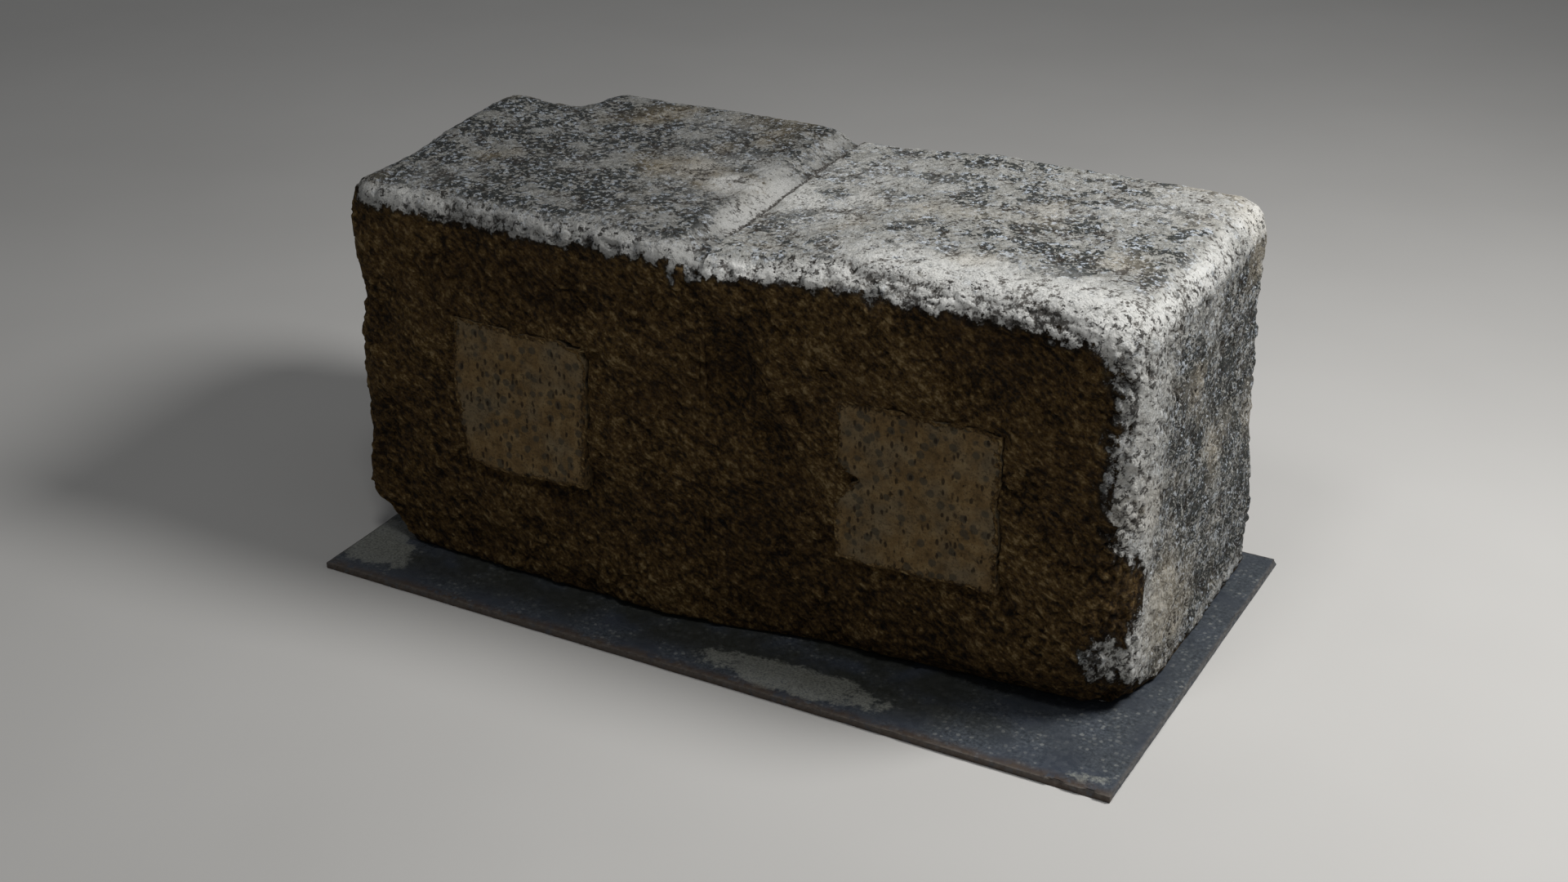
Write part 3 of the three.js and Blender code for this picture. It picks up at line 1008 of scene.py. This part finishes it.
def add_crust(s):
    """Brown weathered crust, with painted shade in the gaps between its grains and painted highlight on
    their tops: returns its colour and the height of its stretched grains.
    """
    streaks = s.streaked()
    rock = s.noise(6.5 * MM, 6, 0.74, streaks)
    gap, _ = s.grains(9 * MM, streaks)
    height = s.minus(s.times(rock, 2.15), s.times(gap, 0.2))
    # painted shade: the crust darkens where the stone's relief is low
    lift = s.scaled(s.shade("relief"), 0.32, -0.61)
    crust = s.ramp(
        s.plus(height, lift),
        (0.14, 18, 12, 5),
        (0.34, 60, 43, 20),
        (0.5, 98, 74, 38),
        (0.66, 126, 99, 56),
        (0.84, 176, 151, 105),
    )
    rusty = s.between(s.noise(90 * MM, 3), 0.45, 0.7)
    return s.over(crust, (84, 60, 32), rusty, 0.25), height


def add_crystals(s, place, crystal, speck, tint):
    """Clean granite: pale ground, blue-white crystals, dark flecks and mica in clusters, stains and
    lime. crystal and speck are a number for each large and small grain."""
    ground = s.noise(10 * MM, 5, 0.65)
    stone = s.ramp(ground, (0.3, 120, 119, 113), (0.5, 154, 153, 147), (0.7, 192, 191, 186))
    cluster = s.plus(s.noise(44 * MM, 5, 0.65), s.times(s.shade("dark"), 0.16))
    cluster = s.minus(cluster, s.times(s.shade("pale"), 0.16))
    even = s.times(s.shade("hewn"), 0.6)
    cluster = s.scaled(s.minus(0.54, cluster), even, cluster)
    speckle = s.between(cluster, 0.46, 0.6)
    blue = s.times(s.between(crystal, 0.6, 0.72), s.scaled(speckle, 0.75, 0.12))
    stone = s.mix(stone, color(192, 200, 209), blue)
    limit = s.scaled(speckle, 0.17, s.scaled(even, 0.04, 0.36))
    fleck_noise = s.noise(7 * MM, 5, 0.62, place)
    finer = s.minus(s.noise(4 * MM, 3, 0.6, place), fleck_noise)
    fleck_noise = s.scaled(finer, even, fleck_noise)
    fleck = s.between(s.minus(limit, fleck_noise), -0.01, 0.02)
    stone = s.over(stone, (38, 42, 40), fleck, 0.93)
    mica = s.times(s.between(speck, 0.18, 0.1), s.between(cluster, 0.4, 0.56))
    stone = s.over(stone, (40, 42, 40), mica, 0.8)
    stone = s.over(stone, tint, s.shade("warm"), 0.4)
    # pale marks lime and wear, and on the rim and the near right corner also painted highlight
    lime = s.times(s.shade("pale"), s.between(s.noise(14 * MM, 5, 0.68), 0.34, 0.46))
    return s.over(stone, (230, 229, 224), lime, 0.88)


def add_hollows(s, stone, place, brown):
    """Painted shade in crevices, and pits whose dark colour is painted shadow, more of them near the
    crust: the colour and the pits' share.
    """
    fine = s.times(s.minus(s.noise(4 * MM, 4, 0.65), 0.5), 1.3)
    crevice_shade = s.between(s.scaled(s.shade("relief"), 0.7, fine), 0.24, 0.0)
    stone = s.over(stone, (50, 41, 31), crevice_shade, 0.85)
    pit_limit = s.scaled(s.shade("pits"), 0.17, 0.28)
    pit_limit = s.scaled(s.between(brown, 0.05, 0.5), 0.06, pit_limit)
    # painted shadow: the pits are coloured dark as if shaded inside
    pit = s.between(s.minus(pit_limit, s.noise(11 * MM, 6, 0.72, place)), -0.01, 0.035)
    return s.over(stone, (42, 35, 27), pit, 0.85), pit


def add_granite(s, light, tint):
    """Clean crystals above, a brown crust on the front that is partly weathering and partly painted
    shade: colour, roughness and bumps.
    """
    place = s.warped(9 * MM, 4 * MM)
    crystal_distance, crystal = s.grains(5.6 * MM, place)
    speck_distance, speck = s.grains(2.7 * MM, place)
    speck = s.number(speck)
    brown = s.shade("brown")
    stone = add_crystals(s, place, s.number(crystal), speck, tint)
    stone, pit = add_hollows(s, stone, place, brown)
    # light scales the clean stone's colour: below 1 it is partly painted shade, for a block farther
    # from the light, and partly a darker tone
    stone = s.mix(stone, (light, light, light, 1), 1.0, "MULTIPLY")
    crust, height = add_crust(s)
    # painted shade: a near-black band where the brown fades out below the pale rim, the rounded edge's
    # unlit underside
    crust = s.over(crust, (24, 17, 8), s.between(brown, 0.98, 0.5), 0.8)
    ragged = s.scaled(s.noise(6.5 * MM, 6, 0.78), 2.9, -1.45)
    crust_and_shade_cover = s.between(s.scaled(brown, 1.45, ragged), 0.52, 0.66)
    bumps = [
        (s.noise(5.5 * MM, 6, 0.72, place), 3 * MM),
        (s.times(s.noise(10 * MM, 5, 0.68, place), s.shade("hewn")), 7 * MM),
        (s.times(pit, -1.0), 3 * MM),
        (s.times(height, crust_and_shade_cover), 11 * MM),
        (s.times(crust_and_shade_cover, s.between(brown, 1.0, 0.8)), -2.5 * MM),
        (crystal_distance, -0.9 * MM),
        (speck_distance, -0.6 * MM),
    ]
    roughness = s.scaled(crust_and_shade_cover, 0.25, s.between(speck, -1.2, 1.6))
    return s.mix(stone, crust, crust_and_shade_cover), roughness, bumps


def granite_material(name, light, tint):
    s = Shader(name)
    return s.finish(*add_granite(s, light, tint), 0.25)


def plug_material():
    """Brown-grey mortar with round dark aggregate, small pits and short upright scratches."""
    s = Shader("plug_mortar")
    place = s.warped(12 * MM, 4 * MM)
    distance, tone = s.grains(15 * MM, place)
    ground = s.noise(20 * MM, 6, 0.68)
    base = s.ramp(ground, (0.3, 80, 62, 37), (0.5, 112, 90, 57), (0.7, 136, 115, 80))
    grey = s.between(s.noise(60 * MM, 3), 0.42, 0.65)
    base = s.over(base, (108, 100, 82), grey, 0.5)
    pebble = s.times(s.between(distance, 0.46, 0.3), s.between(s.number(tone), 0.42, 0.5))
    base = s.over(base, (64, 60, 50), pebble, 0.75)
    upright = s.add("Mapping", {"Vector": place, "Scale": (1, 1, 0.45)}).outputs[0]
    pit_distance, pit_tone = s.grains(6.5 * MM, upright)
    pit = s.times(s.between(pit_distance, 0.4, 0.2), s.between(s.number(pit_tone), 0.6, 0.66))
    base = s.over(base, (36, 26, 15), pit, 0.8)
    ragged = s.scaled(s.noise(10 * MM, 6, 0.75), 3.0, -1.5)
    crust, height = add_crust(s)
    crusted = s.between(s.plus(s.shade("edge"), ragged), 0.62, 0.76)
    base = s.mix(base, crust, crusted)
    grit = s.noise(4 * MM, 4, 0.7)
    base = s.over(base, (52, 41, 26), s.between(grit, 0.52, 0.3), 0.7)
    roughness = s.between(grit, -1.5, 0.9)
    bumps = [
        (grit, 1.6 * MM),
        (s.times(pit, -1.0), 2 * MM),
        (s.noise(25 * MM, 4), 5 * MM),
        (s.times(height, crusted), 5 * MM),
    ]
    return s.finish(base, roughness, bumps, 0.25)


def joint_material():
    """Lime mortar, green-black at the back, under the stones' own crust at the front."""
    s = Shader("joint_mortar")
    # 0.85 lies between the blocks' levels, which are partly painted shade
    stone, roughness, bumps = add_granite(s, 0.85, RIGHT_TINT)
    lime = s.ramp(s.noise(12 * MM, 5, 0.65), (0.3, 96, 88, 72), (0.7, 150, 142, 124))
    olive = s.times(s.shade("damp_and_shadow"), s.between(s.noise(30 * MM), 0.3, 0.5))
    lime = s.over(lime, (50, 50, 38), olive, 0.9)
    return s.finish(s.mix(stone, lime, s.shade("mortar")), roughness, bumps, 0.25)


def slab_material():
    """Honed dark blue-grey stone with fine flecks, lime stains, damp and painted shadow in front of the
    block, and a rusty long edge.
    """
    s = Shader("slab_stone")
    distance, tone = s.grains(9 * MM, s.warped(9 * MM, 3 * MM))
    fleck = s.number(tone)
    ground = s.noise(5 * MM, 5, 0.7)
    base = s.ramp(ground, (0.3, 42, 46, 52), (0.5, 66, 72, 80), (0.7, 94, 100, 106))
    grit = s.noise(3 * MM, 5, 0.7)
    size = s.scaled(grit, 0.6, 0.05)
    dot = s.times(s.between(s.minus(size, distance), 0, 0.1), fleck)
    base = s.over(base, (136, 138, 136), dot, 0.7)
    cloud = s.noise(70 * MM, 5, 0.6)
    base = s.mix(base, color(60, 66, 76), s.between(cloud, 0.6, 0.35))
    # olive darkening in front of the block: damp and painted shadow
    base = s.over(base, (46, 46, 34), s.shade("damp_and_shadow"), 0.75)
    stain = s.between(s.plus(s.shade("lime"), s.noise(20 * MM, 6, 0.7)), 0.84, 1.02)
    lime = s.times(stain, s.between(grit, 0.2, 0.66))
    base = s.over(base, (152, 153, 143), lime, 0.72)
    earth = s.times(s.shade("rust"), s.between(s.noise(14 * MM, 5, 0.65), 0.3, 0.5))
    base = s.over(base, (74, 57, 40), earth, 0.8)
    broken = s.ramp(s.noise(6 * MM, 4, 0.7), (0.3, 48, 46, 46), (0.7, 112, 106, 98))
    base = s.mix(base, broken, s.times(s.shade("side"), 0.55))
    return s.finish(base, s.between(fleck, -1.6, 2.2), [(grit, 0.35 * MM), (cloud, 1 * MM)], 0.4)


# ---- the object

LEFT_TINT = (176, 158, 124)
RIGHT_TINT = (198, 186, 164)

plug_finish = plug_material()
build_slab(slab_material())
# the left granite is a darker copy of the right: partly painted shade for its distance from the light,
# partly its own tone
left_granite = granite_material("left_granite", 0.6, LEFT_TINT)
right_granite = granite_material("right_granite", 1.0, RIGHT_TINT)
build_stone("left_block", LEFT, LEFT_PLUG, left_granite)
build_stone("right_block", RIGHT, RIGHT_PLUG, right_granite)
build_plug(LEFT_PLUG, plug_finish)
build_plug(RIGHT_PLUG, plug_finish)
build_joint(joint_material())

# ---- camera, floor and light

CAMERA_AT = Vector((1.32533, -2.42810, 1.60573))
AZIMUTH, ELEVATION, ROLL = math.radians(29.09), math.radians(26.90), math.radians(-0.51)
LENS = 51.08
AIM_AT = Vector((0, 0, BED_Z + 200 * MM))  # where both lights point


def add_camera():
    data = bpy.data.cameras.new("camera")
    data.lens = LENS
    data.sensor_width = 36
    data.clip_end = 100
    camera = add_object("camera", data)
    turn = Matrix.Rotation(AZIMUTH, 4, "Z") @ Matrix.Rotation(math.pi / 2 - ELEVATION, 4, "X")
    camera.matrix_world = Matrix.Translation(CAMERA_AT) @ turn @ Matrix.Rotation(ROLL, 4, "Z")
    bpy.context.scene.camera = camera


def add_floor():
    half = 15.0
    corners = [(-half, -half, 0), (half, -half, 0), (half, half, 0), (-half, half, 0)]
    mesh = bpy.data.meshes.new("floor")
    mesh.from_pydata(corners, [], [(0, 1, 2, 3)])
    floor = add_object("floor", mesh)
    s = Shader("floor")
    paint = s.ramp(s.noise(0.8, 3), (0.3, 196, 194, 190), (0.7, 202, 200, 196))
    roughness = s.between(s.noise(0.3), -2.0, 1.2)
    mesh.materials.append(s.finish(paint, roughness, [(s.noise(20 * MM), 0.1 * MM)]))


def add_area_light(name, place, size, watts):
    data = bpy.data.lights.new(name, "AREA")
    data.shape = "DISK"
    data.size = size
    data.energy = watts
    light = add_object(name, data)
    light.location = place
    light.rotation_mode = "QUATERNION"
    light.rotation_quaternion = (AIM_AT - light.location).to_track_quat("-Z", "Y")


def add_world():
    world = bpy.data.worlds.new("studio")
    world.use_nodes = True
    background = world.node_tree.nodes["Background"]
    background.inputs["Color"].default_value = (0.92, 0.95, 1.0, 1)
    background.inputs["Strength"].default_value = 0.13
    bpy.context.scene.world = world


add_camera()
add_floor()
add_area_light("key", place=(1.62, 0.45, 2.3), size=0.8, watts=60)
add_area_light("fill", place=(0.2, -1.2, 2.8), size=0.6, watts=11)
add_world()
bpy.context.scene.view_settings.view_transform = "Standard"

bpy.context.view_layer.update()
